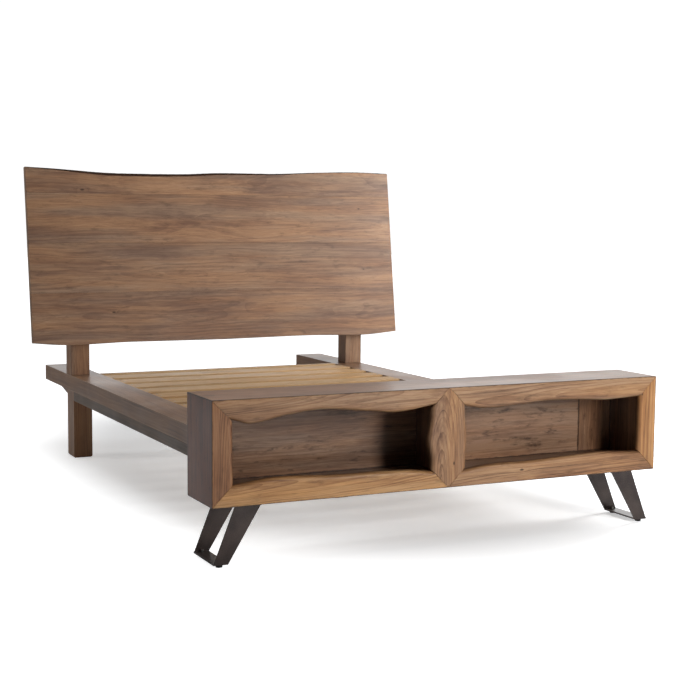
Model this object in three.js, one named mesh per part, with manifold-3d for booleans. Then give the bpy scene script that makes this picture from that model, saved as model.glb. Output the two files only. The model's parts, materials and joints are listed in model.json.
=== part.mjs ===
// Queen bed frame: a live-edge plank headboard on two posts, long side ledges with a slatted
// deck between them, and a storage bench at the foot that stands on two splayed steel legs.
// Millimetres. +Z is up, +Y runs from the foot to the head, and +X is to the right seen from
// the foot. The bed stands on z = 0, and the origin is at the middle of its floor area.

import * as THREE from 'three';
import { mergeVertices } from 'three/addons/utils/BufferGeometryUtils.js';
import Module from 'manifold-3d';

const wasm = await Module();
wasm.setup();

// Fits
const seam = 0.3; // air between two pieces that meet
const boreClearance = 0.3; // round a bolt in its hole
const blindAllowance = 2; // a blind hole runs this far past its bolt

// Mattress and deck
const mattressWidth = 1524;
const mattressLength = 2032;
const mattressEndGap = 23; // left between the mattress and the bench
const deckHeight = 404; // top of the ledges and slats above the floor
const ledgeReveal = 31; // ledge that shows beside the mattress
const ledgeWidth = 150;
const ledgeThickness = 75;
const ledgeOverhang = 449; // ledge that runs on behind the rear leg
const apronHeight = 45;
const apronThickness = 32;
const slatCount = 11;
const slatWidth = 120;
const slatThickness = 20;
const cleatWidth = 30;
const cleatHeight = 40;
const beamWidth = 60;
const beamHeight = 90;
const centreLegSize = 60;
const centreLegCount = 2;
const headRailThickness = 40;

// Rear legs and headboard posts
const rearLegWidth = 92;
const rearLegDepth = 116;
const footChamfer = 6;
const postDepth = 92;
const postTopThickness = 20; // the post is a wedge that thins to this
const gussetLength = 200;
const gussetHeight = 38;
const gussetThickness = 45;
const gussetInset = 12;

// Headboard
const headboardWidth = 1970;
const headboardThickness = 38;
const headboardBottom = 567;
const headboardHeight = 864; // along the leaning face
const headboardLean = THREE.MathUtils.degToRad(8.2);
const topPlankHeight = 128;
const lowerPlankCount = 3;
const barkDepth = 12; // how far back the bark bevel reaches

// Storage bench
const benchWidth = 1850;
const benchDepth = 250;
const benchHeight = 369;
const boardThickness = 48;
const backThickness = 24;
const dividerThickness = 28;
const endBackBoardWidth = 156; // the upright-grain board at the right of the back
const frameDepth = 28;
const stileWidth = 76;
const centreStileWidth = 142;
const centreStileOffset = -8; // the centre stile sits a little left of the middle
const topRailWidth = 68;
const bottomRailWidth = 73;
const edgeRound = 16; // bullnose on the edges round the cubbies

// Steel legs and levelling glides
const steelLegHeight = 213;
const steelLegDepth = 202;
const steelLegSetback = 22; // from the front of the bench
const steelThickness = 6;
const steelTopWidth = 96;
const steelTopInset = 93; // from the end of the bench
const steelFootWidth = 53;
const steelSplay = 80; // how far the outer edge leans out
const screwHoleRadius = 3.25;
const screwInset = 24;
const glideHeight = 10;
const glideRadius = 12;
const glideInset = 18; // from each end of the leg's bottom strap
const stemRadius = 4;
const stemClearance = 0.6;
const stemRise = 8; // stem above the strap, which is also the glide's travel

// Bolts
const tieRodRadius = 5;
const tieRodGrip = 70; // depth in the leg and in the post
const railBoltRadius = 5;
const railBoltGrip = 60; // depth in the ledge
const railBoltInset = 100; // from the ledge's outer face
const railBoltCover = 6; // wood left over its end in the bench back
const headBoltRadius = 4;
const headBoltCover = 10; // wood left in front of its tip
const headBoltHeadRadius = 11;
const headBoltHeadHeight = 6;
const headBoltHeights = [95, 390]; // above the headboard's bottom edge

// Places that follow from the sizes
const benchBottom = steelLegHeight;
const benchTop = benchBottom + benchHeight;
const deckLength = mattressLength + mattressEndGap;
const headFace = benchDepth + deckLength; // front of the headboard at its bottom edge
const ledgeOuter = mattressWidth / 2 + ledgeReveal;
const ledgeInner = ledgeOuter - ledgeWidth;
const ledgeBottom = deckHeight - ledgeThickness;
const rearLegBack = headFace + rearLegDepth;
const ledgeEnd = rearLegBack + ledgeOverhang;
const postFront = headFace + headboardThickness / Math.cos(headboardLean) + seam;
const postBack = postFront + postDepth;
const slatBottom = deckHeight - slatThickness;
const headRailFront = postFront;
const steelOuter = benchWidth / 2 - steelTopInset;
const cubbyBack = benchDepth - backThickness;

const materials = {
  headboard: wood(0x7a553f),
  ledge: wood(0x6f5b4d),
  bench: wood(0x715d50),
  frame: wood(0xa57d5f),
  slat: wood(0xb08d66),
  steel: new THREE.MeshStandardMaterial({ color: 0x4a4340, roughness: 0.42, metalness: 0.85 }),
  glide: new THREE.MeshStandardMaterial({ color: 0x1c1b1a, roughness: 0.6, metalness: 0 }),
  zinc: new THREE.MeshStandardMaterial({ color: 0xa9abad, roughness: 0.35, metalness: 1 }),
};

function wood(color) {
  return new THREE.MeshStandardMaterial({ color, roughness: 0.5, metalness: 0 });
}

// ---- Solids ----

const toSpace = {
  x: (u, v, s) => new THREE.Vector3(s, u, v),
  y: (u, v, s) => new THREE.Vector3(u, s, v),
  z: (u, v, s) => new THREE.Vector3(u, v, s),
};

// A closed solid through the outlines at each station along an axis. An outline is a list of
// [u, v], where u and v are the other two axes in X, Y, Z order.
function loft(axis, stations, outlineAt) {
  const outlines = stations.map(outlineAt);
  const count = outlines[0].length;
  const points = outlines.flatMap((outline, i) => outline.map(([u, v]) => toSpace[axis](u, v, stations[i])));
  const triangles = [];
  for (let s = 0; s < stations.length - 1; s++) {
    for (let i = 0; i < count; i++) {
      const a = s * count + i;
      const b = s * count + ((i + 1) % count);
      triangles.push([a, b, b + count], [a, b + count, a + count]);
    }
  }
  const cap = (s) => {
    const contour = outlines[s].map(([u, v]) => new THREE.Vector2(u, v));
    const turn = Math.sign(THREE.ShapeUtils.area(contour));
    return THREE.ShapeUtils.triangulateShape(contour, []).map((face) => {
      const [a, b, c] = face.map((i) => contour[i]);
      const same = Math.sign(THREE.ShapeUtils.area([a, b, c])) === turn;
      return (same ? face : [...face].reverse()).map((i) => i + s * count);
    });
  };
  triangles.push(...cap(0).map((face) => [...face].reverse()));
  triangles.push(...cap(stations.length - 1));
  const volume = triangles.reduce((sum, [a, b, c]) => (
    sum + points[a].dot(new THREE.Vector3().crossVectors(points[b], points[c]))), 0);
  const outward = volume > 0 ? triangles : triangles.map((face) => [...face].reverse());
  const geometry = new THREE.BufferGeometry();
  geometry.setAttribute('position', new THREE.Float32BufferAttribute(points.flatMap((p) => p.toArray()), 3));
  geometry.setIndex(outward.flat());
  return geometry;
}

function prism(axis, outline, from, to) {
  return loft(axis, [from, to], () => outline);
}

function box([x0, x1], [y0, y1], [z0, z1]) {
  const geometry = new THREE.BoxGeometry(x1 - x0, y1 - y0, z1 - z0);
  return geometry.translate((x0 + x1) / 2, (y0 + y1) / 2, (z0 + z1) / 2);
}

// A round bar along Y or Z between two heights on that axis, centred at the given point.
function bar(axis, radius, centre, from, to, sides = 20) {
  const geometry = new THREE.CylinderGeometry(radius, radius, to - from, sides);
  const [u, v] = centre;
  const middle = (from + to) / 2;
  if (axis === 'z') return geometry.rotateX(Math.PI / 2).translate(u, v, middle);
  return geometry.translate(u, middle, v);
}

function toSolid(geometry) {
  const bare = new THREE.BufferGeometry();
  bare.setAttribute('position', geometry.getAttribute('position'));
  bare.setIndex(geometry.index);
  const merged = mergeVertices(bare);
  return new wasm.Manifold(new wasm.Mesh({
    numProp: 3,
    vertProperties: Float32Array.from(merged.getAttribute('position').array),
    triVerts: Uint32Array.from(merged.index.array),
  }));
}

function toGeometry(solid) {
  const mesh = solid.getMesh();
  const geometry = new THREE.BufferGeometry();
  geometry.setAttribute('position', new THREE.BufferAttribute(mesh.vertProperties, 3));
  geometry.setIndex(new THREE.BufferAttribute(mesh.triVerts, 1));
  return geometry;
}

function cut(geometry, ...tools) {
  const solid = tools.reduce((body, tool) => body.subtract(toSolid(tool)), toSolid(geometry));
  return toGeometry(solid);
}

function join(...geometries) {
  const [first, ...rest] = geometries.map(toSolid);
  return toGeometry(rest.reduce((body, other) => body.add(other), first));
}

// A block that fills the far side of a plane, for mitres.
function halfSpace(point, normal) {
  const reach = 4 * headboardWidth;
  const turn = new THREE.Quaternion().setFromUnitVectors(
    new THREE.Vector3(0, 0, 1), new THREE.Vector3(...normal).normalize());
  return new THREE.BoxGeometry(reach, reach, reach)
    .translate(0, 0, reach / 2 - seam / 2)
    .applyQuaternion(turn)
    .translate(...point);
}

function spread(from, to, count) {
  return Array.from({ length: count }, (_, i) => from + ((to - from) * i) / (count - 1));
}

// A smooth function through pairs of [share of the way, offset].
function wave(pairs) {
  const curve = new THREE.CubicInterpolant(pairs.map(([t]) => t), pairs.map(([, offset]) => offset), 1);
  return (t) => curve.evaluate(THREE.MathUtils.clamp(t, 0, 1))[0];
}

function addPiece(parent, name, geometry, material) {
  const mesh = new THREE.Mesh(geometry, material);
  mesh.name = name;
  parent.add(mesh);
}

const sides = [['left', -1], ['right', 1]];

// A range of X on one side of the bed, from the inner to the outer distance.
function sideRange(side, inner, outer) {
  return side < 0 ? [-outer, -inner] : [inner, outer];
}

// ---- Bolts and the holes they need ----

const tieRodX = ledgeOuter - rearLegWidth / 2;
const tieRodY = (postFront + rearLegBack) / 2;
const railBoltX = ledgeOuter - railBoltInset;
const railBoltZ = deckHeight - ledgeThickness / 2;

function slabFront(z) {
  return headFace + (z - headboardBottom) * Math.tan(headboardLean);
}

function tieRod(side, grow = 0, extra = 0) {
  return bar('z', tieRodRadius + grow, [side * tieRodX, tieRodY],
    ledgeBottom - tieRodGrip - extra, deckHeight + tieRodGrip + extra);
}

function railBolt(side, grow = 0, extra = 0) {
  return bar('y', railBoltRadius + grow, [side * railBoltX, railBoltZ],
    cubbyBack + railBoltCover - Math.min(extra, railBoltCover / 2), benchDepth + railBoltGrip + extra);
}

function headBolt(side, height, grow = 0, extra = 0) {
  const z = headboardBottom + height;
  return bar('y', headBoltRadius + grow, [side * tieRodX, z],
    slabFront(z) + headBoltCover - extra, postBack + (grow ? extra : seam));
}

// ---- Storage bench ----

function benchGroup() {
  const bench = new THREE.Group();
  const halfWidth = benchWidth / 2;
  const mitre = {
    topLeft: [-halfWidth, 0, benchTop],
    topRight: [halfWidth, 0, benchTop],
    bottomLeft: [-halfWidth, 0, benchBottom],
    bottomRight: [halfWidth, 0, benchBottom],
  };

  // The face frame's blank, a shallow pyramid that the boards are mitred to on all four sides.
  const rectangle = (y) => {
    const inset = y - seam * Math.SQRT2;
    return [
      [-halfWidth + inset, benchBottom + inset], [halfWidth - inset, benchBottom + inset],
      [halfWidth - inset, benchTop - inset], [-halfWidth + inset, benchTop - inset],
    ];
  };
  const frameRecess = loft('y', [-1, frameDepth + seam], rectangle);

  const fullX = [-halfWidth, halfWidth];
  const fullY = [0, benchDepth];
  const topBoard = box(fullX, fullY, [benchTop - boardThickness, benchTop]);
  addPiece(bench, 'bench_top', cut(topBoard, frameRecess,
    halfSpace(mitre.topLeft, [-1, 0, -1]), halfSpace(mitre.topRight, [1, 0, -1])), materials.bench);
  const bottomBoard = box(fullX, fullY, [benchBottom, benchBottom + boardThickness]);
  addPiece(bench, 'bench_bottom', cut(bottomBoard, frameRecess,
    halfSpace(mitre.bottomLeft, [-1, 0, 1]), halfSpace(mitre.bottomRight, [1, 0, 1])), materials.bench);
  for (const [name, side] of sides) {
    const end = box(sideRange(side, halfWidth - boardThickness, halfWidth), fullY, [benchBottom, benchTop]);
    addPiece(bench, `bench_end_${name}`, cut(end, frameRecess,
      halfSpace([side * halfWidth, 0, benchTop], [-side, 0, 1]),
      halfSpace([side * halfWidth, 0, benchBottom], [-side, 0, -1])), materials.bench);
  }

  // Divider and back, inside the four boards.
  const innerX = halfWidth - boardThickness - seam;
  const innerZ = [benchBottom + boardThickness + seam, benchTop - boardThickness - seam];
  const dividerX = [centreStileOffset - dividerThickness / 2, centreStileOffset + dividerThickness / 2];
  const dividerY = [frameDepth + seam, cubbyBack - seam];
  addPiece(bench, 'bench_divider', box(dividerX, dividerY, innerZ), materials.bench);
  const backY = [cubbyBack, benchDepth];
  const joints = [-innerX, centreStileOffset, halfWidth - boardThickness - endBackBoardWidth, innerX];
  ['bench_back_left', 'bench_back_right', 'bench_back_end_board'].forEach((name, i) => {
    const from = joints[i] + (i > 0 ? seam / 2 : 0);
    const to = joints[i + 1] - (i < 2 ? seam / 2 : 0);
    const bores = sides.map(([, side]) => railBolt(side, boreClearance, blindAllowance));
    addPiece(bench, name, cut(box([from, to], backY, innerZ), ...bores), materials.bench);
  });

  addFaceFrame(bench, halfWidth);
  for (const [name, side] of sides) addSteelLeg(bench, name, side);
  return bench;
}

// The live edges round the two cubbies, as [share of the opening, offset].
const topWaves = {
  left: wave([[0, 0], [0.07, -20], [0.25, 0], [0.42, 14], [0.67, -2], [0.82, -12], [0.93, -4], [1, 6]]),
  right: wave([[0, -3], [0.07, -16], [0.3, -13], [0.46, -4], [0.63, -7], [0.8, -15], [1, -8]]),
};
const bottomWaves = {
  left: wave([[0, 0], [0.2, 17], [0.5, 9], [0.8, 6], [0.9, 2], [1, -8]]),
  right: wave([[0, -14], [0.08, -4], [0.2, 2], [0.33, 0], [0.6, 8], [0.75, 13], [1, 2]]),
};
const stileWaves = {
  outer: wave([[0, 6], [0.5, 2], [1, 0]]),
  waistLeft: wave([[0, 0], [0.2, 1], [0.5, 12], [0.8, 3], [1, 0]]),
  waistRight: wave([[0, 4], [0.2, 4], [0.45, 8], [0.8, 2], [1, 0]]),
};

// A frame member's section: square at the outside with a mitred back edge, bullnosed inside.
// Depth runs from the face to the back, and inner is where the wavy edge reaches.
function frameSection(outer, inner) {
  const inward = Math.sign(inner - outer);
  const steps = 5;
  const round = Array.from({ length: steps + 1 }, (_, i) => {
    const angle = (i / steps) * (Math.PI / 2);
    return [edgeRound * (1 - Math.sin(angle)), inner - inward * edgeRound * (1 - Math.cos(angle))];
  });
  return [[0, outer], [frameDepth, outer + inward * frameDepth], [frameDepth, inner], ...round];
}

function addFaceFrame(bench, halfWidth) {
  const flip = (outline) => outline.map(([depth, place]) => [place, depth]);
  const centreLeft = centreStileOffset - centreStileWidth / 2;
  const centreRight = centreStileOffset + centreStileWidth / 2;
  const openings = {
    left: [-halfWidth + stileWidth, centreLeft],
    right: [centreRight, halfWidth - stileWidth],
  };
  const tipTop = [centreStileOffset, 0, benchTop];
  const tipBottom = [centreStileOffset, 0, benchBottom];

  for (const [name, side] of sides) {
    const [from, to] = openings[name];
    const share = (x) => (x - from) / (to - from);
    const span = side < 0 ? [-halfWidth, centreStileOffset] : [centreStileOffset, halfWidth];
    const stations = spread(...span, 29);
    const top = loft('x', stations, (x) => (
      frameSection(benchTop, benchTop - topRailWidth + topWaves[name](share(x)))));
    const bottom = loft('x', stations, (x) => (
      frameSection(benchBottom, benchBottom + bottomRailWidth + bottomWaves[name](share(x)))));
    addPiece(bench, `frame_rail_top_${name}`, cut(top,
      halfSpace([side * halfWidth, 0, benchTop], [side, 0, -1]),
      halfSpace(tipTop, [-side, 0, -1])), materials.frame);
    addPiece(bench, `frame_rail_bottom_${name}`, cut(bottom,
      halfSpace([side * halfWidth, 0, benchBottom], [side, 0, 1]),
      halfSpace(tipBottom, [-side, 0, 1])), materials.frame);

    const height = (z) => (z - benchBottom) / benchHeight;
    const stile = loft('z', spread(benchBottom, benchTop, 13), (z) => (
      flip(frameSection(side * halfWidth, side * (halfWidth - stileWidth - stileWaves.outer(height(z)))))));
    addPiece(bench, `frame_stile_${name}`, cut(stile,
      halfSpace([side * halfWidth, 0, benchTop], [-side, 0, 1]),
      halfSpace([side * halfWidth, 0, benchBottom], [-side, 0, -1])), materials.frame);
  }

  // The centre stile is bullnosed on both edges and pointed at both ends.
  const shoulder = centreStileWidth / 2;
  const doorway = benchHeight - centreStileWidth; // straight height between the shoulders
  const centre = loft('z', spread(benchBottom, benchTop, 19), (z) => {
    const t = (z - benchBottom - shoulder) / doorway;
    const left = frameSection(centreStileOffset, centreLeft - stileWaves.waistLeft(t)).slice(2);
    const right = frameSection(centreStileOffset, centreRight + stileWaves.waistRight(t)).slice(2);
    return flip([...left, ...right.reverse()]);
  });
  addPiece(bench, 'frame_stile_centre', cut(centre,
    halfSpace(tipTop, [1, 0, 1]), halfSpace(tipTop, [-1, 0, 1]), halfSpace(tipTop, [0, 1, 1]),
    halfSpace(tipBottom, [1, 0, -1]), halfSpace(tipBottom, [-1, 0, -1]),
    halfSpace(tipBottom, [0, 1, -1])), materials.frame);
}

// A bent-plate leg: a top plate, two tapered bars that lean outwards, and a strap at the floor.
function addSteelLeg(bench, name, side) {
  const top = steelLegHeight - seam;
  const foot = glideHeight;
  const back = steelLegSetback + steelLegDepth;
  const outerFoot = steelOuter + steelSplay;
  const trapezium = [
    [side * (steelOuter - steelTopWidth), top], [side * steelOuter, top],
    [side * outerFoot, foot], [side * (outerFoot - steelFootWidth), foot],
  ];
  const plateX = sideRange(side, steelOuter - steelTopWidth, steelOuter);
  const strapX = sideRange(side, outerFoot - steelFootWidth, outerFoot);
  const fullY = [steelLegSetback, back];
  const body = join(
    prism('y', trapezium, steelLegSetback, steelLegSetback + steelThickness),
    prism('y', trapezium, back - steelThickness, back),
    box(plateX, fullY, [top - steelThickness, top]),
    box(strapX, fullY, [foot, foot + steelThickness]));

  const plateMiddle = (plateX[0] + plateX[1]) / 2;
  const holes = [];
  for (const dx of [-screwInset, screwInset]) {
    for (const y of [steelLegSetback + 2 * screwInset, back - 2 * screwInset]) {
      holes.push(bar('z', screwHoleRadius, [plateMiddle + dx, y], top - 2 * steelThickness, top + 1));
    }
  }
  const strapMiddle = (strapX[0] + strapX[1]) / 2;
  const glides = [['front', steelLegSetback + glideInset], ['rear', back - glideInset]];
  for (const [, y] of glides) {
    holes.push(bar('z', stemRadius + stemClearance, [strapMiddle, y], foot - 1, foot + 2 * steelThickness));
  }
  addPiece(bench, `steel_leg_${name}`, cut(body, ...holes), materials.steel);

  for (const [place, y] of glides) {
    const mesh = new THREE.Mesh(glideGeometry(), materials.glide);
    mesh.name = `glide_${place}_${name}`;
    mesh.position.set(strapMiddle, y, 0);
    bench.add(mesh);
  }
}

// A levelling glide: a round nylon pad on a threaded stem, drawn without its thread.
function glideGeometry() {
  const padTop = glideHeight - seam;
  const stemTop = glideHeight + steelThickness + stemRise;
  const profile = [
    [0, 0], [glideRadius - 1.5, 0], [glideRadius, 1.5], [glideRadius, padTop - 3],
    [glideRadius - 2, padTop], [stemRadius, padTop], [stemRadius, stemTop], [0, stemTop],
  ];
  return new THREE.LatheGeometry(profile.map(([r, z]) => new THREE.Vector2(r, z)), 24).rotateX(Math.PI / 2);
}

// ---- Ledges, deck and rear legs ----

function baseGroup() {
  const base = new THREE.Group();
  for (const [name, side] of sides) addSide(base, name, side);

  const betweenLedges = [-ledgeInner + seam, ledgeInner - seam];
  addPiece(base, 'head_rail', box(betweenLedges, [headRailFront, headRailFront + headRailThickness],
    [ledgeBottom, deckHeight]), materials.slat);

  const beamTop = slatBottom - seam;
  const beamBottom = beamTop - beamHeight;
  const beamY = [benchDepth + seam, headRailFront - seam];
  addPiece(base, 'centre_beam', box([-beamWidth / 2, beamWidth / 2], beamY, [beamBottom, beamTop]),
    materials.slat);
  for (let i = 1; i <= centreLegCount; i++) {
    const y = benchDepth + (i * (headRailFront - benchDepth)) / (centreLegCount + 1);
    const half = centreLegSize / 2;
    addPiece(base, `centre_leg_${i}`, box([-half, half], [y - half, y + half], [0, beamBottom - seam]),
      materials.slat);
  }

  const slatGap = (headRailFront - benchDepth - slatCount * slatWidth) / (slatCount + 1);
  for (let i = 0; i < slatCount; i++) {
    const y = benchDepth + slatGap + i * (slatWidth + slatGap);
    const name = `slat_${String(i + 1).padStart(2, '0')}`;
    addPiece(base, name, box(betweenLedges, [y, y + slatWidth], [slatBottom, deckHeight]), materials.slat);
  }
  return base;
}

function addSide(base, name, side) {
  const outerRange = (width) => sideRange(side, ledgeOuter - width, ledgeOuter);
  const rodHole = tieRod(side, boreClearance, blindAllowance);

  addPiece(base, `ledge_${name}`, cut(
    box(outerRange(ledgeWidth), [benchDepth + seam, ledgeEnd], [ledgeBottom, deckHeight]),
    rodHole, railBolt(side, boreClearance, blindAllowance)), materials.ledge);
  addPiece(base, `apron_${name}`, box(outerRange(apronThickness), [benchDepth + seam, headFace - seam],
    [ledgeBottom - apronHeight, ledgeBottom - seam]), materials.ledge);
  const cleatTop = slatBottom - seam;
  addPiece(base, `slat_cleat_${name}`, box(sideRange(side, ledgeInner - seam - cleatWidth, ledgeInner - seam),
    [benchDepth + seam, headRailFront - seam], [cleatTop - cleatHeight, cleatTop]), materials.slat);

  // Rear leg, with a chamfer round its foot.
  const legX = outerRange(rearLegWidth);
  const legOutline = (inset) => [
    [legX[0] + inset, headFace + inset], [legX[1] - inset, headFace + inset],
    [legX[1] - inset, rearLegBack - inset], [legX[0] + inset, rearLegBack - inset],
  ];
  const leg = loft('z', [0, footChamfer, ledgeBottom - seam], (z) => (
    legOutline(Math.max(footChamfer - z, 0))));
  addPiece(base, `rear_leg_${name}`, cut(leg, rodHole), materials.ledge);

  const gussetX = sideRange(side, ledgeOuter - gussetInset - gussetThickness, ledgeOuter - gussetInset);
  const gussetTop = ledgeBottom - seam;
  const gussetFront = rearLegBack + seam;
  const gusset = [[gussetFront, gussetTop], [gussetFront, gussetTop - gussetHeight],
    [gussetFront + gussetLength, gussetTop]];
  addPiece(base, `gusset_${name}`, prism('x', gusset, ...gussetX), materials.ledge);

  // Headboard post: upright at the back, and cut to the headboard's lean at the front.
  const postBottom = deckHeight + seam;
  const postTop = headboardBottom + (postDepth - postTopThickness) / Math.tan(headboardLean);
  const post = prism('x', [[postFront, postBottom], [postBack, postBottom], [postBack, postTop],
    [postBack - postTopThickness, postTop], [postFront, headboardBottom]], ...legX);
  const boltHoles = headBoltHeights.map((height) => headBolt(side, height, boreClearance, blindAllowance));
  addPiece(base, `headboard_post_${name}`, cut(post, rodHole, ...boltHoles), materials.headboard);

  addPiece(base, `tie_rod_${name}`, tieRod(side), materials.zinc);
  addPiece(base, `rail_bolt_${name}`, railBolt(side), materials.zinc);
  headBoltHeights.forEach((height, i) => {
    const head = bar('y', headBoltHeadRadius, [side * tieRodX, headboardBottom + height],
      postBack + seam, postBack + seam + headBoltHeadHeight);
    addPiece(base, `headboard_bolt_${name}_${i + 1}`, join(headBolt(side, height), head), materials.zinc);
  });
}

// ---- Headboard ----

const liveEdge = wave([[0, 0], [0.06, -5], [0.11, -11], [0.2, -22], [0.28, -24], [0.42, -21], [0.5, -13],
  [0.68, -10], [0.74, -4], [0.9, 6], [1, 2]]);
const barkHeight = wave([[0, 5], [0.2, 15], [0.35, 15], [0.6, 10], [0.8, 5], [1, 5]]);
const bottomEdge = wave([[0, 7], [0.08, -7], [0.25, -2], [0.5, -5], [0.75, 0], [0.92, -6], [1, 6]]);

// The planks in the headboard's own frame: X across, Y back through its thickness, Z up its face.
function headboardGroup() {
  const headboard = new THREE.Group();
  headboard.position.set(0, headFace, headboardBottom);
  headboard.rotation.x = -headboardLean;
  headboard.updateMatrix();
  const toLocal = headboard.matrix.clone().invert();
  const bores = sides.flatMap(([, side]) => headBoltHeights.map((height) => (
    headBolt(side, height, boreClearance, blindAllowance).applyMatrix4(toLocal))));

  const share = (x) => x / headboardWidth + 0.5;
  const stations = spread(-headboardWidth / 2, headboardWidth / 2, 41);
  const lowerHeight = (headboardHeight - topPlankHeight) / lowerPlankCount;
  for (let i = 0; i < lowerPlankCount; i++) {
    const bottom = (x) => (i === 0 ? bottomEdge(share(x)) : i * lowerHeight);
    const top = (i + 1) * lowerHeight - seam;
    const plank = loft('x', i === 0 ? stations : [stations[0], stations.at(-1)], (x) => [
      [0, bottom(x)], [headboardThickness, bottom(x)], [headboardThickness, top], [0, top]]);
    addPiece(headboard, `headboard_plank_${i + 1}`, cut(plank, ...bores), materials.headboard);
  }
  const plankBottom = headboardHeight - topPlankHeight;
  const easing = 5; // round-over at the back of the live edge
  addPiece(headboard, 'headboard_plank_live_edge', loft('x', stations, (x) => {
    const top = headboardHeight + liveEdge(share(x));
    return [
      [0, plankBottom], [headboardThickness, plankBottom], [headboardThickness, top - easing],
      [headboardThickness - easing, top], [barkDepth, top], [0, top - barkHeight(share(x))],
    ];
  }), materials.headboard);
  return headboard;
}

// ---- The whole bed ----

const bed = new THREE.Group();
bed.position.y = -ledgeEnd / 2;
bed.add(benchGroup(), baseGroup(), headboardGroup());

export default bed;
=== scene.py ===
import json
import math

import bmesh
import bpy
from mathutils import Matrix, Vector, noise


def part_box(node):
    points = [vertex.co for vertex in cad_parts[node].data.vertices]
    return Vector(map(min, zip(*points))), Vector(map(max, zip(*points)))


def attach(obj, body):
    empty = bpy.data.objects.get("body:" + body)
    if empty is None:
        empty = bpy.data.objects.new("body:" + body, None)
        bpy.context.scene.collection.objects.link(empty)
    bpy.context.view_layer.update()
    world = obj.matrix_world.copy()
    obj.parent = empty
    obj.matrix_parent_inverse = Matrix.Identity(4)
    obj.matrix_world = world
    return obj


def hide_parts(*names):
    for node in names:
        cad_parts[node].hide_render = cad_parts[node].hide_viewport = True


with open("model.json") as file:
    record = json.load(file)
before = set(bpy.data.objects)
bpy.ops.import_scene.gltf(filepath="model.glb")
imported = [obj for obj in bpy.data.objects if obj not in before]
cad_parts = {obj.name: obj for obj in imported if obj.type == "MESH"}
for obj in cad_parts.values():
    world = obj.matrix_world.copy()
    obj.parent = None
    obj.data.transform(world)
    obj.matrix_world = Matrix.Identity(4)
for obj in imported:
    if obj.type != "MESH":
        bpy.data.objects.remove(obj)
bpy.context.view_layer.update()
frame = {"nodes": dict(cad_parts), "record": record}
print("packed bed loaded:", len(frame["nodes"]), "nodes")

rootBody = "bed_frame"
mm = 0.001


# Node helpers

def put(tree, kind, **values):
    node = tree.nodes.new(kind)
    for key, value in values.items():
        setattr(node, key, value)
    return node


def plug(tree, source, socket):
    if isinstance(source, bpy.types.NodeSocket):
        tree.links.new(source, socket)
    else:
        socket.default_value = source


def calc(tree, operation, *values):
    node = put(tree, "ShaderNodeMath", operation=operation)
    for socket, value in zip(node.inputs, values):
        plug(tree, value, socket)
    return node.outputs[0]


# A length or a dot product comes out of "Value".
def vectorCalc(tree, operation, *values, output="Vector"):
    node = put(tree, "ShaderNodeVectorMath", operation=operation)
    for socket, value in zip(node.inputs, values):
        plug(tree, value, socket)
    return node.outputs[output]


def split(tree, vector):
    node = put(tree, "ShaderNodeSeparateXYZ")
    plug(tree, vector, node.inputs[0])
    return node.outputs


def combine(tree, *values):
    node = put(tree, "ShaderNodeCombineXYZ")
    for socket, value in zip(node.inputs, values):
        plug(tree, value, socket)
    return node.outputs[0]


def remap(tree, value, low, high, toLow=0.0, toHigh=1.0, soft=True):
    node = put(tree, "ShaderNodeMapRange", interpolation_type="SMOOTHSTEP" if soft else "LINEAR")
    plug(tree, value, node.inputs["Value"])
    for label, number in (("From Min", low), ("From Max", high), ("To Min", toLow), ("To Max", toHigh)):
        plug(tree, number, node.inputs[label])
    return node.outputs["Result"]


def blendColour(tree, amount, first, second, mode="MIX"):
    node = put(tree, "ShaderNodeMix", data_type="RGBA", blend_type=mode)
    plug(tree, amount, node.inputs[0])
    plug(tree, first, node.inputs[6])
    plug(tree, second, node.inputs[7])
    return node.outputs[2]


def stretchedNoise(tree, point, stretch, seed, detail=2.0, roughness=0.5):
    texture = put(tree, "ShaderNodeTexNoise", noise_dimensions="4D")
    plug(tree, vectorCalc(tree, "MULTIPLY", point, stretch), texture.inputs["Vector"])
    plug(tree, seed, texture.inputs["W"])
    texture.inputs["Scale"].default_value = 1.0
    texture.inputs["Detail"].default_value = detail
    texture.inputs["Roughness"].default_value = roughness
    return texture.outputs[0]


def paint(code):
    channels = [int(code[i:i + 2], 16) / 255 for i in (0, 2, 4)]
    linear = [c / 12.92 if c <= 0.04045 else ((c + 0.055) / 1.055) ** 2.4 for c in channels]
    return (*linear, 1.0)


def makeGroup(name, inputs, outputs):
    tree = bpy.data.node_groups.new(name, "ShaderNodeTree")
    for label, value in inputs.items():
        kind = "NodeSocketVector" if isinstance(value, tuple) else "NodeSocketFloat"
        tree.interface.new_socket(name=label, in_out="INPUT", socket_type=kind).default_value = value
    for label in outputs:
        tree.interface.new_socket(name=label, in_out="OUTPUT", socket_type="NodeSocketFloat")
    return tree, put(tree, "NodeGroupInput").outputs, put(tree, "NodeGroupOutput").inputs


def useGroup(tree, group, **values):
    node = put(tree, "ShaderNodeGroup", node_tree=group)
    for label, value in values.items():
        plug(tree, value, node.inputs[label])
    return node.outputs


def startMaterial(name):
    material = bpy.data.materials.new(name)
    material.use_nodes = True
    tree = material.node_tree
    shader = tree.nodes["Principled BSDF"]
    return material, tree, shader, put(tree, "ShaderNodeTexCoord").outputs["Object"]


def addBump(tree, shader, height, strength, distance):
    bump = put(tree, "ShaderNodeBump")
    bump.inputs["Strength"].default_value = strength
    bump.inputs["Distance"].default_value = distance
    plug(tree, height, bump.inputs["Height"])
    plug(tree, bump.outputs[0], shader.inputs["Normal"])


# Camera, light and floor

view = {
    "lens": 71.25,
    "sensor": 36.0,
    "place": (-2.5203, -5.7649, 1.2118),
    "turn": 25.954,  # from +Y towards +X
    "tilt": 5.672,  # downwards
    "roll": 0.448,
}

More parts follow.
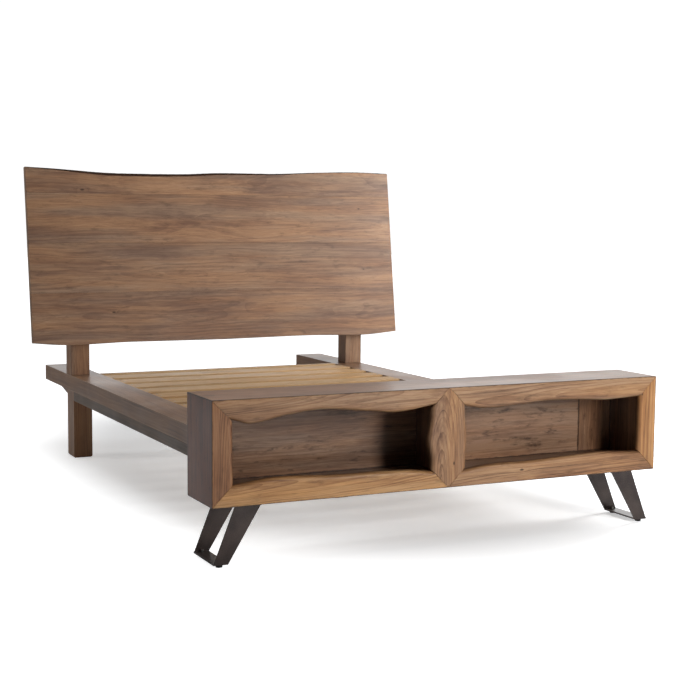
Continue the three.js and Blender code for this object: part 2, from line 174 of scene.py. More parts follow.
studio = {
    "white": (1.0, 1.0, 1.0, 1.0),
    "darkSide": 0.06,  # the unlit part of the studio, in front of the bed and to its left
    "paperSide": 1.35,  # the white sweep behind the bed and to its right
    "paperAxis": (0.42, 0.9, 0.0),
    "paperRange": (0.64, 0.99),
    "backdrop": 1.05,
    "paper": (0.86, 0.88, 0.905, 1.0),
    "paperRoughness": 0.9,
    # Painted light: the floor itself glows, to the camera only, little near the bed and more away from it,
    # so that it reads white with shade round the bed. Where the glow starts and stops to grow with the
    # distance from the bed, and its strength at both.
    "nearLift": (1.25, 2.15, 0.30, 0.88),
    "farLift": (2.0, 3.6, 0.0, 0.25),
    "liftCentre": (0.25, 0.35, 0.0),
    "liftStretch": (1.5, 0.8, 0.0),
    "floorSize": 60.0,
    "unmirrored": ("key_box", "fill_box"),  # flagged off, so that the sheen shows no hot spot
    # name: place, aims at, width, height, watts, colour
    "softBoxes": {
        "key_box": ((1.3, -4.4, 1.25), (0.1, -1.4, 0.4), 0.7, 1.0, 62.0, (1.0, 0.98, 0.95)),
        "glint_box": ((1.7, -4.8, 1.5), (0.1, -1.4, 0.5), 1.5, 1.6, 40.0, (1.0, 0.99, 0.98)),
        "side_box": ((2.5, -0.6, 1.7), (0.6, 1.2, 1.0), 0.9, 1.2, 62.0, (1.0, 0.99, 0.97)),
        "fill_box": ((-3.6, 2.0, 1.3), (-0.8, 0.9, 0.35), 1.6, 1.6, 26.0, (1.0, 0.97, 0.93)),
        "top_box": ((0.0, 0.0, 4.6), (0.0, 0.0, 0.4), 3.6, 3.6, 75.0, (0.98, 0.99, 1.0)),
    },
}


def makeCamera():
    turn, tilt, roll = (math.radians(view[key]) for key in ("turn", "tilt", "roll"))
    forward = Vector((math.sin(turn) * math.cos(tilt), math.cos(turn) * math.cos(tilt), -math.sin(tilt)))
    level = Vector((math.cos(turn), -math.sin(turn), 0.0))
    upright = level.cross(forward)
    right = level * math.cos(roll) + upright * math.sin(roll)
    up = upright * math.cos(roll) - level * math.sin(roll)
    data = bpy.data.cameras.new("camera")
    data.lens = view["lens"]
    data.sensor_width = view["sensor"]
    camera = bpy.data.objects.new("camera", data)
    bpy.context.scene.collection.objects.link(camera)
    axes = Matrix((right, up, -forward)).transposed().to_4x4()
    camera.matrix_world = Matrix.Translation(view["place"]) @ axes
    bpy.context.scene.camera = camera


def makeRoom():
    world = bpy.data.worlds.new("white_room")
    world.use_nodes = True
    tree = world.node_tree
    background = tree.nodes["Background"]
    background.inputs["Color"].default_value = studio["white"]
    direction = put(tree, "ShaderNodeTexCoord").outputs["Generated"]
    towards = vectorCalc(tree, "DOT_PRODUCT", direction, studio["paperAxis"], output="Value")
    room = remap(tree, towards, *studio["paperRange"], studio["darkSide"], studio["paperSide"])
    seen = put(tree, "ShaderNodeLightPath").outputs["Is Camera Ray"]
    plug(tree, remap(tree, seen, 0.0, 1.0, room, studio["backdrop"], False), background.inputs["Strength"])
    bpy.context.scene.world = world
    bpy.context.scene.view_settings.view_transform = "Standard"

    for name, (place, target, width, height, watts, colour) in studio["softBoxes"].items():
        data = bpy.data.lights.new(name, "AREA")
        data.shape = "RECTANGLE"
        data.size, data.size_y = width, height
        data.energy = watts
        data.color = colour
        box = bpy.data.objects.new(name, data)
        box.location = place
        box.rotation_euler = (Vector(target) - Vector(place)).to_track_quat("-Z", "Y").to_euler()
        box.visible_glossy = name not in studio["unmirrored"]
        bpy.context.scene.collection.objects.link(box)


def makeFloor():
    half = studio["floorSize"] / 2
    mesh = bpy.data.meshes.new("studio_floor")
    corners = [(-half, -half, 0), (half, -half, 0), (half, half, 0), (-half, half, 0)]
    mesh.from_pydata(corners, [], [(0, 1, 2, 3)])
    floor = bpy.data.objects.new("studio_floor", mesh)
    bpy.context.scene.collection.objects.link(floor)
    paper, tree, shader, place = startMaterial("studio_paper")
    shader.inputs["Base Color"].default_value = studio["paper"]
    shader.inputs["Roughness"].default_value = studio["paperRoughness"]
    shader.inputs["Emission Color"].default_value = studio["white"]
    # Painted light: the floor glows to the camera, more the farther it lies from the bed.
    offset = vectorCalc(tree, "SUBTRACT", place, studio["liftCentre"])
    offset = vectorCalc(tree, "MULTIPLY", offset, studio["liftStretch"])
    away = vectorCalc(tree, "LENGTH", offset, output="Value")
    near, far = (remap(tree, away, *studio[key]) for key in ("nearLift", "farLift"))
    seen = put(tree, "ShaderNodeLightPath").outputs["Is Camera Ray"]
    lift = calc(tree, "MULTIPLY", calc(tree, "ADD", near, far), seen)
    plug(tree, lift, shader.inputs["Emission Strength"])
    mesh.materials.append(paper)


makeCamera()
makeRoom()
makeFloor()
print("camera, lights and floor are set")


# Effects that several materials share

# For each part of the figure: how often it repeats per metre along, across and through the board,
# how far its seed is moved, and its detail and roughness.
figures = {
    "sway": ((1.6, 5.0, 5.0), 0.0, 1.5, 0.5),
    "heave": ((2.3, 7.0, 7.0), 31.0, 1.5, 0.5),
    "figure": ((1.8, 11.0, 11.0), 3.0, 4.0, 0.55),
    "warmth": ((1.5, 16.0, 16.0), 41.0, 3.0, 0.55),
    "streaks": ((2.0, 110.0, 150.0), 9.0, 4.0, 0.68),
    "fibres": ((18.0, 300.0, 300.0), 15.0, 4.0, 0.62),
    "pores": ((80.0, 1500.0, 1500.0), 0.0, 1.0, 0.5),
    "smudges": ((13.0, 42.0, 42.0), 21.0, 4.0, 0.68),
}

# A knot is long along the grain and runs through the board. The rings swell round it and settle.
knotShape = {"stretch": (0.5, 1.0, 0.1), "settle": -0.55, "swell": 1.4, "smallest": 0.0001}

# Growth rings: how often their spacing changes, how much, and how sharp their dark side is.
ringShape = {"change": 0.31, "jitter": 2.6, "sharpness": 3.2}


# The board as it was sawn from its log: the heart runs along X, a little way behind the face.
def makeWoodGrain():
    tree, given, made = makeGroup("woodGrain", {
        "Point": (0.0, 0.0, 0.0), "Seed": 0.0, "HeartAcross": 0.0, "HeartBehind": 0.1, "RunOut": 0.03,
        "RingWidth": 0.007, "Waviness": 0.012, "KnotPlace": (9.0, 9.0, 9.0), "KnotSize": 0.0,
        "RingAmount": 0.4, "FigureAmount": 0.5, "StreakAmount": 0.4, "FibreAmount": 0.2,
    }, ["Tone", "Height", "Pores", "Smudges", "Knot", "Warmth"])
    point, seed = given["Point"], given["Seed"]
    along, across, through = split(tree, point)

    def drawn(name, where=point):
        stretch, shift, detail, roughness = figures[name]
        return stretchedNoise(tree, where, stretch, calc(tree, "ADD", seed, shift), detail, roughness)

    sway, heave = (
        calc(tree, "MULTIPLY", calc(tree, "SUBTRACT", drawn(name), 0.5), given["Waviness"])
        for name in ("sway", "heave"))
    ringAcross = calc(tree, "ADD", calc(tree, "SUBTRACT", across, given["HeartAcross"]), sway)
    ringBehind = calc(tree, "ADD", calc(tree, "ADD", through, given["HeartBehind"]), heave)
    ringBehind = calc(tree, "MULTIPLY_ADD", along, given["RunOut"], ringBehind)
    squares = calc(tree, "ADD", calc(tree, "POWER", calc(tree, "ABSOLUTE", ringAcross), 2.0),
                   calc(tree, "POWER", calc(tree, "ABSOLUTE", ringBehind), 2.0))
    radius = calc(tree, "SQRT", squares)

    # The grain flows round a knot.
    fromKnot = vectorCalc(tree, "SUBTRACT", point, given["KnotPlace"])
    fromKnot = vectorCalc(tree, "MULTIPLY", fromKnot, knotShape["stretch"])
    knotDistance = calc(tree, "DIVIDE", vectorCalc(tree, "LENGTH", fromKnot, output="Value"),
                        calc(tree, "MAXIMUM", given["KnotSize"], knotShape["smallest"]))
    swirl = calc(tree, "EXPONENT", calc(tree, "MULTIPLY", knotDistance, knotShape["settle"]))
    swirl = calc(tree, "MULTIPLY", swirl, given["KnotSize"])
    radius = calc(tree, "MULTIPLY_ADD", swirl, knotShape["swell"], radius)
    knot = remap(tree, knotDistance, 1.0, 0.35)

    phase = calc(tree, "DIVIDE", radius, given["RingWidth"])
    spacing = put(tree, "ShaderNodeTexNoise", noise_dimensions="1D")
    plug(tree, calc(tree, "MULTIPLY_ADD", phase, ringShape["change"], seed), spacing.inputs["W"])
    spacing.inputs["Scale"].default_value = 1.0
    phase = calc(tree, "MULTIPLY_ADD", spacing.outputs[0], ringShape["jitter"], phase)
    ring = calc(tree, "POWER", calc(tree, "FRACT", phase), ringShape["sharpness"])
    ring = calc(tree, "MULTIPLY", ring, remap(tree, spacing.outputs[0], 0.3, 0.7, 0.25, 1.0))

    onRing = combine(tree, along, ringAcross, radius)
    figure = remap(tree, drawn("figure"), 0.3, 0.7)
    warmth = remap(tree, drawn("warmth"), 0.35, 0.65)
    streaks = remap(tree, drawn("streaks", onRing), 0.3, 0.7)
    fibres = drawn("fibres", onRing)
    pores = remap(tree, drawn("pores"), 0.62, 0.74)
    pores = calc(tree, "MULTIPLY", pores, remap(tree, ring, 0.0, 0.6, 0.35, 1.0))
    smudges = remap(tree, drawn("smudges"), 0.54, 0.72)

    tone = 0.55
    for value, amount in ((figure, "FigureAmount"), (streaks, "StreakAmount"), (fibres, "FibreAmount")):
        tone = calc(tree, "MULTIPLY_ADD", calc(tree, "SUBTRACT", value, 0.5), given[amount], tone)
    tone = calc(tree, "SUBTRACT", tone, calc(tree, "MULTIPLY", ring, given["RingAmount"]))
    height = calc(tree, "MULTIPLY_ADD", ring, -0.25, calc(tree, "MULTIPLY", fibres, 0.5))
    height = calc(tree, "SUBTRACT", height, calc(tree, "MULTIPLY", pores, 0.8))
    for label, value in (("Tone", tone), ("Height", height), ("Pores", pores), ("Smudges", smudges),
                         ("Knot", knot), ("Warmth", warmth)):
        plug(tree, value, made[label])
    return tree


# How near a point is to the arrises of a board that fills the box from Low to High.
def makeEdgeWear():
    tree, given, made = makeGroup("edgeWear", {
        "Point": (0.0, 0.0, 0.0), "Low": (-1.0, -1.0, -1.0), "High": (1.0, 1.0, 1.0),
        "Width": 0.004, "Seed": 0.0,
    }, ["Wear"])
    fromLow = vectorCalc(tree, "SUBTRACT", given["Point"], given["Low"])
    fromHigh = vectorCalc(tree, "SUBTRACT", given["High"], given["Point"])
    a, b, c = split(tree, vectorCalc(tree, "MINIMUM", fromLow, fromHigh))
    least, most = calc(tree, "MINIMUM", a, b), calc(tree, "MAXIMUM", a, b)
    second = calc(tree, "MAXIMUM", least, calc(tree, "MINIMUM", most, c))
    rough = stretchedNoise(tree, given["Point"], (45.0, 45.0, 45.0), given["Seed"], 3.0, 0.6)
    reach = calc(tree, "MULTIPLY", given["Width"], remap(tree, rough, 0.35, 0.7, 0.65, 1.25))
    plug(tree, remap(tree, second, reach, calc(tree, "MULTIPLY", reach, 0.35)), made["Wear"])
    return tree


# Uneven sheen: broad patches where the finish lies thicker, and fine specks.
def makeHandling():
    tree, given, made = makeGroup("handling", {
        "Point": (0.0, 0.0, 0.0), "PatchSize": 0.2, "SpeckSize": 0.0015, "Seed": 0.0,
    }, ["Patches", "Specks"])
    for label, size, low, high in (("Patches", "PatchSize", 0.35, 0.65), ("Specks", "SpeckSize", 0.4, 0.6)):
        texture = put(tree, "ShaderNodeTexNoise", noise_dimensions="4D")
        plug(tree, given["Point"], texture.inputs["Vector"])
        plug(tree, calc(tree, "DIVIDE", 1.0, given[size]), texture.inputs["Scale"])
        plug(tree, given["Seed"], texture.inputs["W"])
        texture.inputs["Detail"].default_value = 2.0
        plug(tree, remap(tree, texture.outputs[0], low, high), made[label])
    return tree


woodGrain = makeWoodGrain()
edgeWear = makeEdgeWear()
handling = makeHandling()


# Wood

# Four tones from the darkest figure to the lightest, then how the figure is made up.
woods = {
    "headboard_wood": {
        "tones": ("47302a", "785a48", "99795f", "b29176"), "roughness": 0.48, "coat": 0.05,
        "cool": "eceef0", "warm": "fff2e0", "arris": "3a2618", "arrisWidth": 4.0,
        "rings": 0.16, "figure": 0.34, "streaks": 0.28, "fibres": 0.62, "smudges": 0.35,
        "ringWidth": 0.011, "heart": 0.16, "runOut": 0.02, "waviness": 0.06, "wear": 0.5,
    },
    "face_frame_wood": {
        "tones": ("553a2b", "8b6549", "ac8562", "c8a27c"), "roughness": 0.42, "coat": 0.15,
        "cool": "f0f0ee", "warm": "fff4de", "arris": "23160d", "arrisWidth": 4.5,
        "rings": 0.5, "figure": 0.45, "streaks": 0.42, "fibres": 0.7, "smudges": 0.3,
        "ringWidth": 0.009, "heart": 0.055, "runOut": 0.06, "waviness": 0.035, "wear": 0.75,
    },
    "bench_wood": {
        "tones": ("3c2a20", "674d3d", "836752", "9d816a"), "roughness": 0.36, "coat": 0.18,
        "cool": "eeeeee", "warm": "fff0de", "arris": "2c1c12", "arrisWidth": 6.0,
        "rings": 0.12, "figure": 0.42, "streaks": 0.4, "fibres": 1.0, "smudges": 0.75,
        "ringWidth": 0.010, "heart": 0.12, "runOut": 0.02, "waviness": 0.04, "wear": 0.85,
    },
    "ledge_wood": {
        "tones": ("40301f", "6a4e3b", "84664d", "9c7f65"), "roughness": 0.40, "coat": 0.2,
        "cool": "f2f0f2", "warm": "fff2e2", "arris": "a1846a", "arrisWidth": 6.0,
        "rings": 0.2, "figure": 0.35, "streaks": 0.4, "fibres": 0.35, "smudges": 0.25,
        "ringWidth": 0.009, "heart": 0.12, "runOut": 0.015, "waviness": 0.03, "wear": 0.35,
    },
    "apron_wood": {
        "tones": ("332820", "4f4136", "645447", "78685a"), "roughness": 0.45, "coat": 0.1,
        "cool": "f2f0f2", "warm": "fff2e2", "arris": "7f6f60", "arrisWidth": 6.0,
        "rings": 0.15, "figure": 0.3, "streaks": 0.35, "fibres": 0.3, "smudges": 0.25,
        "ringWidth": 0.008, "heart": 0.1, "runOut": 0.015, "waviness": 0.02, "wear": 0.25,
    },
    "deck_wood": {
        "tones": ("94744f", "b3936b", "c2a47e", "d0b38f"), "roughness": 0.55, "coat": 0.03,
        "cool": "f4f2f0", "warm": "fff4e6", "arris": "d0b38f", "arrisWidth": 5.0,
        "rings": 0.35, "figure": 0.25, "streaks": 0.25, "fibres": 0.25, "smudges": 0.08,
        "ringWidth": 0.007, "heart": 0.07, "runOut": 0.03, "waviness": 0.02, "wear": 0.12,
    },
}

# Boards sawn at a slant to the heart, so that the rings come out as arches.
slants = {"frame_stile_centre": 0.17, "frame_rail_top_left": 0.07, "frame_stile_left": 0.1}

# Boards with a knot: where it lies along and across the board from its middle, and its size.
knots = {
    "frame_stile_centre": (-0.096, 0.024, 0.005),
    "frame_rail_bottom_right": (-0.15, 0.0, 0.006),
    "headboard_plank_live_edge": (-0.71, -0.045, 0.008),
    "headboard_plank_3": (0.80, 0.06, 0.005),
    "headboard_plank_2": (0.81, -0.02, 0.005),
    "headboard_plank_1": (-0.58, 0.03, 0.007),
    "bench_back_left": (-0.36, -0.09, 0.008),
}
noKnot = (9.0, 9.0, 0.0)  # well outside the board, without a size

# Boards with a tint of their own, and how much lighter they are. The bench top is lighter as painted sheen,
# both bench ends are darker as painted shade, and the left stile is darker partly in its own tone and
# partly as painted shade.
tintsAndPaintedLight = {
    # painted sheen: the bench top is made lighter
    "bench_top": ("fff2e6", 0.2),
    # painted shade: both bench ends are made darker
    "bench_end_left": ("f4bc90", -0.1),
    "bench_end_right": ("ffffff", -0.2),
    "bench_back_left": ("f4f2f4", 0.08),
    "bench_back_right": ("f6f0ee", 0.42),
    # partly painted shade: the left stile is made darker
    "frame_stile_left": ("f0e2da", -0.1),
    "frame_rail_bottom_left": ("fcf6e6", 0.27),
    "frame_rail_top_left": ("e6e8f2", 0.12),
    "frame_rail_top_right": ("e6e8f2", 0.22),
    "frame_stile_centre": ("ecebf0", 0.1),
    "frame_stile_right": ("fff2dc", 0.26),
    "rear_leg_left": ("fff4e4", 0.12),
}

# How strongly pores and knots darken the wood, how much the turned part of a live edge is darkened, partly
# as painted shade, and its sheen.
woodFinish = {
    "dark": "24150d", "stops": (0.35, 0.68), "pores": 0.45, "knot": 0.85, "turned": 0.7,
    "specular": 0.42, "coatRoughness": 0.28, "patchSize": 0.25, "bump": 0.35, "depth": 0.0004,
}

# What sets one board's timber apart from the next.
boardSeed = {"step": 1.7, "heartAcross": 0.05, "heartBehind": 0.3}


# The longest side of a board is its grain, and the shortest is its thickness.
def boardAxes(size):
    shortestFirst = sorted(range(3), key=lambda axis: size[axis])
    return shortestFirst[::-1]


def makeWood(slot, node):
    look = woods[slot]
    low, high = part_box(node)
    seed = boardSeed["step"] * sorted(frame["nodes"]).index(node)
    material, tree, shader, place = startMaterial("wood_" + node)
    parts = split(tree, vectorCalc(tree, "SUBTRACT", place, tuple((low + high) / 2)))
    point = combine(tree, *(parts[axis] for axis in boardAxes(high - low)))

    along, across, size = knots.get(node, noKnot)
    grain = useGroup(
        tree, woodGrain, Point=point, Seed=seed,
        HeartAcross=boardSeed["heartAcross"] * math.sin(seed * 2.3),
        HeartBehind=look["heart"] * (1.0 + boardSeed["heartBehind"] * math.sin(seed)),
        RunOut=slants.get(node, look["runOut"] * math.cos(seed * 1.7)),
        RingWidth=look["ringWidth"], Waviness=look["waviness"],
        KnotPlace=(along, across, 0.0), KnotSize=size,
        RingAmount=look["rings"], FigureAmount=look["figure"], StreakAmount=look["streaks"],
        FibreAmount=look["fibres"])
    # A board's tint and lightness, which on some boards is painted sheen or painted shade.
    tint, lighter = tintsAndPaintedLight.get(node, ("ffffff", 0.0))
    ramp = put(tree, "ShaderNodeValToRGB")
    plug(tree, calc(tree, "ADD", grain["Tone"], lighter), ramp.inputs[0])
    darkest, *between, lightest = (paint(code) for code in look["tones"])
    ramp.color_ramp.elements[0].color = darkest
    ramp.color_ramp.elements[-1].color = lightest
    for stop, tone in zip(woodFinish["stops"], between):
        ramp.color_ramp.elements.new(stop).color = tone
    colour = ramp.outputs[0]

    # Live edges carry how far round the edge each point lies.
    turned = put(tree, "ShaderNodeAttribute", attribute_name="edgeTurn").outputs["Fac"]
    worn = useGroup(tree, edgeWear, Point=place, Low=tuple(low), High=tuple(high),
                    Width=look["arrisWidth"] * mm, Seed=seed)["Wear"]
    cast = blendColour(tree, grain["Warmth"], paint(look["cool"]), paint(look["warm"]))
    cast = blendColour(tree, 1.0, cast, paint(tint), "MULTIPLY")

    dark = paint(woodFinish["dark"])
    for mask, amount in ((grain["Smudges"], look["smudges"]), (grain["Pores"], woodFinish["pores"]),
                         (grain["Knot"], woodFinish["knot"])):
        colour = blendColour(tree, calc(tree, "MULTIPLY", mask, amount), colour, dark)
    colour = blendColour(tree, 1.0, colour, cast, "MULTIPLY")
    colour = blendColour(tree, calc(tree, "MULTIPLY", worn, look["wear"]), colour, paint(look["arris"]))
    # Partly painted shade: the wood darkens round the live edge towards its underside and rear.
    colour = blendColour(tree, calc(tree, "MULTIPLY", turned, woodFinish["turned"]), colour, dark)
    plug(tree, colour, shader.inputs["Base Color"])

    sheen = useGroup(tree, handling, Point=place, PatchSize=woodFinish["patchSize"], Seed=seed)
    rough = calc(tree, "MULTIPLY_ADD", sheen["Patches"], 0.10, look["roughness"] - 0.05)
    rough = calc(tree, "MULTIPLY_ADD", grain["Pores"], 0.15, rough)
    plug(tree, rough, shader.inputs["Roughness"])
    shader.inputs["Specular IOR Level"].default_value = woodFinish["specular"]
    shader.inputs["Coat Weight"].default_value = look["coat"]
    shader.inputs["Coat Roughness"].default_value = woodFinish["coatRoughness"]
    addBump(tree, shader, grain["Height"], woodFinish["bump"], woodFinish["depth"])
    return material


# Bark

barkLook = {"dark": "1b100a", "light": "4a3020", "specular": 0.15, "bump": 0.8, "depth": 0.002}


def makeBark():
    material, tree, shader, place = startMaterial("bark_edge")
    ridges = stretchedNoise(tree, place, (30.0, 260.0, 260.0), 4.0, 4.0, 0.65)
    dark, light = paint(barkLook["dark"]), paint(barkLook["light"])
    colour = blendColour(tree, remap(tree, ridges, 0.35, 0.68), dark, light)
    plug(tree, colour, shader.inputs["Base Color"])
    plug(tree, remap(tree, ridges, 0.3, 0.7, 0.9, 0.7), shader.inputs["Roughness"])
    shader.inputs["Specular IOR Level"].default_value = barkLook["specular"]
    addBump(tree, shader, ridges, barkLook["bump"], barkLook["depth"])
    return material


# Steel, nylon and zinc

metals = {
    "bronzed_steel": {"colours": ("332a28", "574a45"), "roughness": 0.32, "metallic": 0.75, "coat": 0.6,
                      "patch": 0.12, "speck": 0.0012, "grit": 0.00006},
    "glide_nylon": {"colours": ("0d0d0d", "1d1c1b"), "roughness": 0.5, "metallic": 0.0, "coat": 0.0,
                    "patch": 0.01, "speck": 0.0006, "grit": 0.00008},
    "zinc_hardware": {"colours": ("8d8e8c", "b9b8b2"), "roughness": 0.32, "metallic": 1.0, "coat": 0.0,
                      "patch": 0.012, "speck": 0.0007, "grit": 0.00004},
}

# How much specks and patches mix the two colours, and what all metals share.
metalFinish = {"specks": 0.35, "patches": 0.65, "coatRoughness": 0.22, "bump": 0.5, "seed": 5.0}


def makeMetal(slot):
    look = metals[slot]
    material, tree, shader, place = startMaterial(slot)
    finish = useGroup(tree, handling, Point=place, PatchSize=look["patch"], SpeckSize=look["speck"],
                      Seed=metalFinish["seed"])
    dark, light = (paint(code) for code in look["colours"])
    patches = calc(tree, "MULTIPLY", finish["Patches"], metalFinish["patches"])
    mixed = calc(tree, "MULTIPLY_ADD", finish["Specks"], metalFinish["specks"], patches)
    plug(tree, blendColour(tree, mixed, dark, light), shader.inputs["Base Color"])
    shader.inputs["Metallic"].default_value = look["metallic"]
    shader.inputs["Coat Weight"].default_value = look["coat"]
    shader.inputs["Coat Roughness"].default_value = metalFinish["coatRoughness"]
    rough = calc(tree, "MULTIPLY_ADD", finish["Patches"], 0.12, look["roughness"] - 0.04)
    plug(tree, rough, shader.inputs["Roughness"])
    addBump(tree, shader, finish["Specks"], metalFinish["bump"], look["grit"])
    return material


metalMaterials = {slot: makeMetal(slot) for slot in metals}
bark = makeBark()
print("shared effects, metals and bark are made")


# Boards that keep their shape from the design: eased arrises and their own piece of timber

# Radius of the eased arrises in mm.
easing = {"bench_wood": 1.2, "ledge_wood": 2.0, "apron_wood": 1.5, "deck_wood": 1.5, "headboard_wood": 0.7,
          "face_frame_wood": 0.7, "bronzed_steel": 0.8, "glide_nylon": 0.4, "zinc_hardware": 0.4}

slotOf = {part["node"]: part["material_slot"] for part in frame["record"]["subparts"]}


def easeEdges(piece, width, segments, degrees, harden=True):
    ease = piece.modifiers.new("eased_edges", "BEVEL")
    ease.width = width
    ease.segments = segments
    ease.limit_method = "ANGLE"
    ease.angle_limit = math.radians(degrees)
    ease.harden_normals = harden


# Coplanar triangles are merged first, so that only real arrises are eased.
def finishBoards():
    for node, piece in frame["nodes"].items():
        slot = slotOf[node]
        material = metalMaterials[slot] if slot in metals else makeWood(slot, node)
        for place in piece.material_slots:
            place.material = material
        weld = piece.modifiers.new("weld", "WELD")
        weld.merge_threshold = 0.02 * mm
        flat = piece.modifiers.new("flat_faces", "DECIMATE")
        flat.decimate_type = "DISSOLVE"
        flat.angle_limit = math.radians(0.5)
        easeEdges(piece, easing[slot] * mm, 3, 30, False)


finishBoards()
print("boards, steel and hardware are finished")


# Mesh helpers

# Rings of points joined into one closed skin. Each cap is a list of polygons of ring indexes.
def skinRings(name, rings, startCap=None, endCap=None, turns=None):
    count = len(rings[0])
    mesh = bpy.data.meshes.new(name)
    points = [point for ring in rings for point in ring]
    faces = []
    for r in range(len(rings) - 1):
        for i in range(count):
            j = (i + 1) % count
            faces.append((r * count + i, r * count + j, (r + 1) * count + j, (r + 1) * count + i))
    last = (len(rings) - 1) * count
    for polygon in startCap or [list(range(count))]:
        faces.append(tuple(reversed(polygon)))
    for polygon in endCap or [list(range(count))]:
        faces.append(tuple(last + i for i in polygon))
    mesh.from_pydata(points, [], faces)
    if turns is not None:
        attribute = mesh.attributes.new("edgeTurn", "FLOAT", "POINT")
        attribute.data.foreach_set("value", [turn for _ in rings for turn in turns])
    shell = bmesh.new()
    shell.from_mesh(mesh)
    bmesh.ops.recalc_face_normals(shell, faces=shell.faces)
    shell.to_mesh(mesh)
    shell.free()
    return mesh


def joinMeshes(name, meshes):
    shell = bmesh.new()
    for mesh in meshes:
        shell.from_mesh(mesh)
        bpy.data.meshes.remove(mesh)
    joined = bpy.data.meshes.new(name)
    shell.to_mesh(joined)
    shell.free()
    return joined


def smoothByAngle(mesh, degrees=35):
    mesh.polygons.foreach_set("use_smooth", [True] * len(mesh.polygons))
    mesh.set_sharp_from_angle(angle=math.radians(degrees))


def addPiece(name, mesh, material, body, slot, *replaced):
    piece = bpy.data.objects.new(name, mesh)
    bpy.context.scene.collection.objects.link(piece)
    mesh.materials.append(material)
    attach(piece, body)
    if replaced:
        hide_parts(*replaced)
    return piece


def curveBetween(t, start, end, slopeStart, slopeEnd):
    return ((2 * t**3 - 3 * t**2 + 1) * start + (t**3 - 2 * t**2 + t) * slopeStart
            + (3 * t**2 - 2 * t**3) * end + (t**3 - t**2) * slopeEnd)


def wobble(x, y, z):
    return noise.noise(Vector((x, y, z)))


# A smooth curve through the design's own points on one edge of a board.
def edgeLine(node, along, across, onEdge):
    pairs = {}
    for vertex in frame["nodes"][node].data.vertices:
        if onEdge(vertex.co):
            pairs[round(vertex.co[along], 4)] = vertex.co[across]
    keys = sorted(pairs)
    values = [pairs[key] for key in keys]

    def at(position):
        position = min(max(position, keys[0]), keys[-1])
        i = 0
        while i < len(keys) - 2 and keys[i + 1] < position:
            i += 1
        a, b = keys[i], keys[i + 1]
        t = (position - a) / (b - a)
        before, after = max(i - 1, 0), min(i + 2, len(keys) - 1)
        slopeA = (values[i + 1] - values[before]) / (keys[i + 1] - keys[before]) * (b - a)
        slopeB = (values[after] - values[i]) / (keys[after] - keys[i]) * (b - a)
        return curveBetween(t, values[i], values[i + 1], slopeA, slopeB)

    return at


# The face frame round the cubbies

faceFrame = {
    "round": 16 * mm,  # bullnose on the live edges
    "roundSteps": 10,
    "faceSteps": 5,
    "spacing": 6 * mm,
    "joint": 0.45 * mm,
    "ripple": 1.0 * mm,
    "easing": 0.9 * mm,
    "easedAbove": 38,  # degrees
    "mitreRounds": 8,
}

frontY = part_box("frame_rail_top_left")[0].y
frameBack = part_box("frame_rail_top_left")[1].y
frameDepth = frameBack - frontY
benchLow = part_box("bench_end_left")[0]
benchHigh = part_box("bench_end_right")[1]
tipX = (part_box("frame_rail_top_left")[1].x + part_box("frame_rail_top_right")[0].x) / 2
nearEdge = 1.2 * frameDepth  # points closer to an outer edge than this belong to that edge


def onBack(point):
    return abs(point.y - frameBack) < 0.1 * mm


def ripple(position, seed):
    long = wobble(position * 14.0, seed, 0.0)
    short = wobble(position * 45.0, seed, 7.0)
    return faceFrame["ripple"] * (long + 0.35 * short)


# The lines that run along a member, from the outer arris over the face, round the live edge
# and back across the rear. Each gives its depth and place at a position, and its turn.
def memberLines(outer, innerAt, inward):
    size = faceFrame["round"]
    lines = []
    for i in range(faceFrame["faceSteps"]):
        share = i / faceFrame["faceSteps"]
        lines.append((lambda s, share=share: (
            0.0, outer + (innerAt(s) - inward * size - outer) * share), 0.0))
    for i in range(faceFrame["roundSteps"] + 1):
        angle = (i / faceFrame["roundSteps"]) * math.pi / 2
        lines.append((lambda s, angle=angle: (
            size * (1 - math.cos(angle)), innerAt(s) - inward * size * (1 - math.sin(angle))),
            (i / faceFrame["roundSteps"]) ** 2))
    lines.append((lambda s: (frameDepth, innerAt(s)), 1.0))
    return lines


# A member from its lines. reach gives where a line starts and ends, so that the mitres are cut
# true. A line's place changes along the member, so its ends are found in a few rounds.
def buildMember(node, lines, reach, toPoint, startCap=None, endCap=None):
    spans = []
    for line, _ in lines:
        start, end = reach(*line(0.0))
        for _ in range(faceFrame["mitreRounds"]):
            start = reach(*line(start))[0]
            end = reach(*line(end))[1]
        spans.append((start + faceFrame["joint"], end - faceFrame["joint"]))
    length = max(end - start for start, end in spans)
    count = max(2, round(length / faceFrame["spacing"]))
    rings = []
    for r in range(count + 1):
        ring = []
        for (line, _), (start, end) in zip(lines, spans):
            position = start + (end - start) * r / count
            depth, place = line(position)
            ring.append(toPoint(position, depth, place))
        rings.append(ring)
    mesh = skinRings(node + "_solid", rings, startCap, endCap, [turn for _, turn in lines])
    smoothByAngle(mesh)
    slot = "face_frame_wood"
    piece = addPiece(node + "_solid", mesh, makeWood(slot, node), rootBody, slot, node)
    easeEdges(piece, faceFrame["easing"], 2, faceFrame["easedAbove"])


def buildRails():
    for end, outerZ, inward in (("top", benchHigh.z, -1), ("bottom", benchLow.z, 1)):
        for name in ("left", "right"):
            node = "frame_rail_%s_%s" % (end, name)
            line = edgeLine(node, 0, 2, lambda p: onBack(p) and abs(p.z - outerZ) > nearEdge)
            seed = len(node) + 3.0 * (name == "left")
            lines = memberLines(outerZ, lambda x: line(x) + ripple(x, seed), inward)
            lines.append((lambda x: (frameDepth, outerZ + inward * frameDepth), 0.0))
            fromX, toX = (benchLow.x, tipX) if name == "left" else (tipX, benchHigh.x)

            def reach(depth, z):
                return fromX + abs(z - outerZ), toX - abs(z - outerZ)

            buildMember(node, lines, reach, lambda x, depth, z: Vector((x, frontY + depth, z)))


